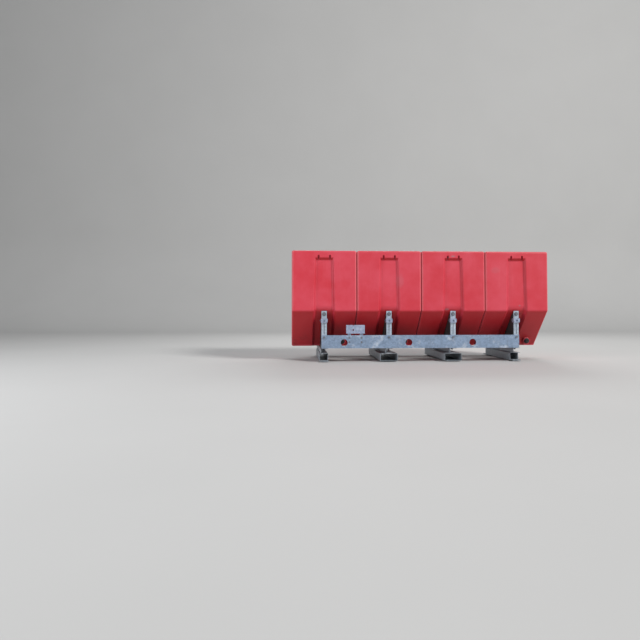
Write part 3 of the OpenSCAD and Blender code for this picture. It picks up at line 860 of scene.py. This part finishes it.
# what each node whose name starts so gets: the width of its broken edges, and its roll
rounding = {
    "front_post": (0.0012, postRoll), "rear_post": (0.0012, postRoll),
    "front_gusset": (0.0012, None), "rear_gusset": (0.0012, None),
    "front_rail": (0.0012, railRoll), "rear_rail": (0.0012, railRoll),
    "cross_beam": (0.0012, beamRoll), "fork_channel": (0.0012, channelRoll), "end_skid": (0.0012, skidRoll),
    "front_eye": (0.0012, strapRoll), "rear_eye": (0.0012, strapRoll), "anchor_plate": (0.0010, plateRoll),
    "front_pads": (0.0015, None), "rear_pads": (0.0015, None), "tank_mats": (0.0012, None), "foot_pads": (0.003, None),
    "post_bolts": (0.0010, None), "rail_bolts": (0.0010, None), "leg_bolts": (0.0010, None),
    "beam_bolts": (0.0010, None), "gusset_bolts": (0.0006, None), "eye_bolts": (0.0006, None),
    "anchor_bolts": (0.0005, None), "cap_gasket": (0.0008, None), "drain_gasket": (0.0006, None),
}
rollSegments = 4
sharpFold = 1.0  # radians between two faces, from which an edge can be a fold


def rollEdges(piece, node, radiusOf):
    low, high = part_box(node)
    mesh = bmesh.new()
    mesh.from_mesh(piece.data)
    weight = mesh.edges.layers.float.new("bevel_weight_edge")
    sizes = {}
    for edge in mesh.edges:
        if len(edge.link_faces) == 2 and edge.calc_face_angle() > sharpFold:
            outside = edge.calc_face_angle_signed() > 0
            radius = radiusOf(edge.verts[0].co, edge.verts[1].co, outside, low, high)
            if radius:
                sizes[edge] = radius
    widest = max(sizes.values(), default=1.0)
    for edge, radius in sizes.items():
        edge[weight] = radius / widest
    mesh.to_mesh(piece.data)
    mesh.free()
    applyModifier(piece, "BEVEL", width=widest, segments=rollSegments, limit_method="WEIGHT",
                  use_clamp_overlap=False)


def refined(node, width, roll):
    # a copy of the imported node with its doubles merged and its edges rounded, as folded and rolled steel has
    piece = nodes[node].copy()
    piece.data = nodes[node].data.copy()
    piece.parent = None
    first, *rest = node.split("_")
    piece.name = first + "".join(word.title() for word in rest) + "Shown"
    for key in list(piece.keys()):
        del piece[key]
    bpy.context.scene.collection.objects.link(piece)
    inEdit(piece, "VERT")
    bpy.ops.mesh.select_all(action="SELECT")
    bpy.ops.mesh.remove_doubles(threshold=1e-5)
    bpy.ops.mesh.dissolve_limited(angle_limit=math.radians(0.6))
    # a bevelled face with many corners would close a tube's mouth, so it is cut up first
    bpy.ops.mesh.quads_convert_to_tris(quad_method="BEAUTY", ngon_method="BEAUTY")
    leaveEdit()
    if roll:
        rollEdges(piece, node, roll)
    soften(piece, width, 2, 35)
    smooth(piece)
    settleOn(piece, node)


for node in sorted(nodes):
    for start, (width, roll) in rounding.items():
        if node.startswith(start):
            refined(node, width, roll)
print("steelwork done")


# a pale floor that bends up into a wall far behind
studio = {"floorHalf": 24.0, "sideHalf": 60.0, "wallStart": 7.5, "wallHeight": 13.0, "bend": 3.0, "bendSteps": 12}


def studioSweep():
    clearSelection()
    side, low, far = studio["sideHalf"], -studio["floorHalf"], studio["wallStart"]
    bend, steps = studio["bend"], studio["bendSteps"]
    turns = [n * pi / 2 / steps for n in range(steps + 1)]
    line = [(low, 0)] + [(far + bend * math.sin(a), bend - bend * math.cos(a)) for a in turns]
    line.append((far + bend, studio["wallHeight"]))
    sweep = lineObject("studioSweep", [(-side, y, z) for y, z in line], [(n, n + 1) for n in range(len(line) - 1)])
    inEdit(sweep, "EDGE")
    bpy.ops.mesh.select_all(action="SELECT")
    bpy.ops.mesh.extrude_edges_move(TRANSFORM_OT_translate={"value": (2 * side, 0, 0)})
    allOutwards()
    leaveEdit()
    activate(sweep)
    bpy.ops.object.shade_smooth()
    sweep.data.materials.append(concreteFloor())


# each light: place, what it aims at, width and height, power, colour
lights = {
    "keyLight": ((14.0, -13.5, 14.5), (0, 0, 0.8), (6.0, 6.0), 5450, (1.0, 0.985, 0.965)),
    "fillLight": ((-7.0, -4.5, 3.2), (0, 0, 0.8), (4.0, 3.0), 290, (0.95, 0.97, 1.0)),
    "rimLight": ((1.0, 5.0, 5.5), (0, 0, 1.0), (5.0, 2.0), 200, (1, 1, 1)),
}
sky = {"colour": (0.93, 0.96, 1.0, 1), "strength": 0.34}


def areaLight(name, place, aim, size, power, colour):
    clearSelection()
    bpy.ops.object.light_add(type="AREA", location=place)
    light = bpy.context.object
    light.name = name
    light.data.shape = "RECTANGLE"
    light.data.size, light.data.size_y = size
    light.data.energy = power
    light.data.color = colour
    light.rotation_euler = (Vector(aim) - Vector(place)).to_track_quat("-Z", "Y").to_euler()


def skyLight():
    world = bpy.data.worlds.new("studioWorld")
    bpy.context.scene.world = world
    world.use_nodes = True
    background = world.node_tree.nodes["Background"]
    background.inputs["Color"].default_value = sky["colour"]
    background.inputs["Strength"].default_value = sky["strength"]
    bpy.context.scene.view_settings.view_transform = "Standard"


# the camera stands low to the left of the middle, turned a little to its right, angles in degrees
view = {
    "place": (-1.500, -6.637, 0.615), "turn": 3.193, "tilt": 1.487, "lens": 30.285, "sensor": 36,
    "shift": (-0.0023, -0.0396), "seesTo": 100,
}


def mainCamera():
    clearSelection()
    bpy.ops.object.camera_add(location=view["place"])
    camera = bpy.context.object
    camera.name = "mainCamera"
    camera.rotation_euler = (math.radians(90 + view["tilt"]), 0, -math.radians(view["turn"]))
    camera.data.sensor_width = view["sensor"]
    camera.data.lens = view["lens"]
    camera.data.shift_x, camera.data.shift_y = view["shift"]
    camera.data.clip_end = view["seesTo"]
    bpy.context.scene.camera = camera


studioSweep()
for name, settings in lights.items():
    areaLight(name, *settings)
skyLight()
mainCamera()
print("studio done")
